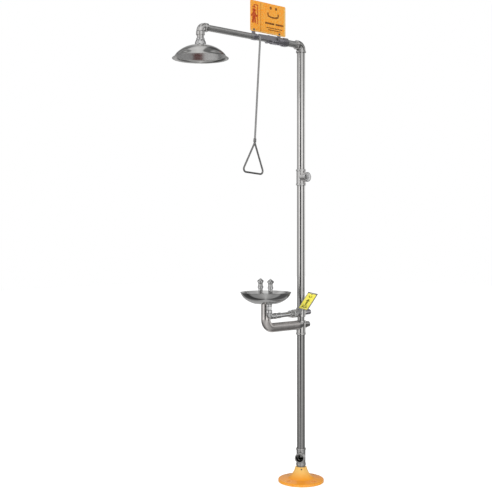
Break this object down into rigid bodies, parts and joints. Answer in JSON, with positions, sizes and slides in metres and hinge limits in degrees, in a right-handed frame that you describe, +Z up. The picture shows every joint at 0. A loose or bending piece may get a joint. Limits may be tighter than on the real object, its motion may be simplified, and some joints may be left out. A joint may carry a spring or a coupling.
{
  "type": "combination emergency shower and eyewash station",
  "caption": "Floor-standing pipe riser with an overhead drench shower on a side arm, pull-rod ball valve, eyewash bowl with spray heads, push-flag valve and a flanged foot.",
  "frame": {"origin": "centre of the floor flange on its underside, on the riser axis", "axes": "+Z up the riser; the shower arm and the eyewash bowl reach toward -Y (the user side); the valve levers are on the +X side"},
  "size_m": [0.272, 0.939, 2.484],
  "materials": {
    "orange_paint": "gloss powder coat",
    "dark_steel": "zinc-plated fastener",
    "steel_pipe": "lengthwise polished stainless tube",
    "steel_fitting": "tumbled cast stainless",
    "valve_steel": "machined stainless",
    "seat_white": "moulded fluoropolymer",
    "polished_chrome": "bright plate",
    "lever_steel": "satin sheet",
    "rod_steel": "drawn bright bar",
    "polished_sheet": "mirror-polished spun stainless sheet",
    "polished_bowl": "mirror-polished pressed stainless sheet",
    "sign_orange": "enamelled sheet",
    "label_yellow": "film-faced plate",
    "supply_steel": "polished tube",
    "drain_steel": "polished bent tube",
    "gasket_black": "moulded"
  },
  "bodies": {
    "station": {"base_flange": "orange_paint", "base_set_screws": "dark_steel", "base_nipple": "steel_pipe", "waste_outlet_tee": "steel_fitting", "lower_riser_pipe": "steel_pipe", "eyewash_waste_cross": "steel_fitting", "waste_cross_plug": "supply_steel", "blanked_nipple": "steel_pipe", "eyewash_supply_cross": "steel_fitting", "supply_cross_plug": "valve_steel", "middle_riser_pipe": "steel_pipe", "inlet_tee": "steel_fitting", "upper_riser_pipe": "steel_pipe", "top_elbow": "steel_fitting", "valve_feed_nipple": "steel_pipe", "shower_valve_tail": "valve_steel", "shower_valve_body": "valve_steel", "shower_valve_seats": "seat_white", "shower_valve_gland_nut": "valve_steel", "shower_arm_pipe": "steel_pipe", "head_elbow": "steel_fitting", "head_drop_nipple": "steel_pipe", "head_coupling": "polished_chrome", "dome_locknut": "valve_steel", "shower_dome": "polished_sheet", "spray_plate": "polished_sheet", "sign_plate": "sign_orange", "sign_clips": "lever_steel", "sign_clip_bolts": "dark_steel", "sign_clip_nuts": "dark_steel", "eyewash_valve_tail": "supply_steel", "eyewash_valve_body": "supply_steel", "eyewash_valve_seats": "seat_white", "eyewash_valve_gland_nut": "supply_steel", "supply_pipe": "supply_steel", "supply_coupling": "supply_steel", "supply_elbow": "supply_steel", "bowl_locknuts": "supply_steel", "spray_yoke": "polished_chrome", "spray_heads": "polished_chrome", "cap_hinge_pins": "dark_steel", "eyewash_bowl": "polished_bowl", "bowl_gasket": "gasket_black", "drain_strainer": "polished_chrome", "drain_pipe": "drain_steel"},
    "shower_lever_set": {"shower_lever": "lever_steel", "shower_lever_nut": "dark_steel", "shower_valve_stem": "polished_chrome", "shower_valve_ball": "polished_chrome"},
    "pull_rod_set": {"pull_rod": "rod_steel", "pull_handle": "rod_steel"},
    "flag_set": {"flag_lever": "polished_chrome", "push_flag_label": "label_yellow", "flag_rivets": "dark_steel", "flag_lever_nut": "dark_steel", "eyewash_valve_stem": "polished_chrome", "eyewash_valve_ball": "polished_chrome"},
    "left_dust_cap": {"dust_cap_left": "polished_chrome"},
    "right_dust_cap": {"dust_cap_right": "polished_chrome"}
  },
  "joints": [
    {"name": "shower_lever_turn", "type": "hinge", "parent": "station", "child": "shower_lever_set", "pos_m": [0.0335, -0.205, 2.3], "axis": [1, 0, 0], "range_deg": [0, 90]},
    {"name": "pull_rod_pivot", "type": "hinge", "parent": "shower_lever_set", "child": "pull_rod_set", "pos_m": [0.0335, -0.333, 2.3], "axis": [1, 0, 0], "range_deg": [-90, 0]},
    {"name": "eyewash_flag_turn", "type": "hinge", "parent": "station", "child": "flag_set", "pos_m": [0.00919, -0.05929, 0.889], "axis": [0.9786, 0.1517, -0.1392], "range_deg": [0, 90]},
    {"name": "left_dust_cap_flip", "type": "hinge", "parent": "station", "child": "left_dust_cap", "pos_m": [-0.0537, -0.257, 1.0624], "axis": [0, -1, 0], "range_deg": [0, 110]},
    {"name": "right_dust_cap_flip", "type": "hinge", "parent": "station", "child": "right_dust_cap", "pos_m": [0.0537, -0.257, 1.0624], "axis": [0, 1, 0], "range_deg": [0, 110]}
  ],
  "couplings": [
    {"joint": "pull_rod_pivot", "follows": "shower_lever_turn", "ratio": -1}
  ]
}
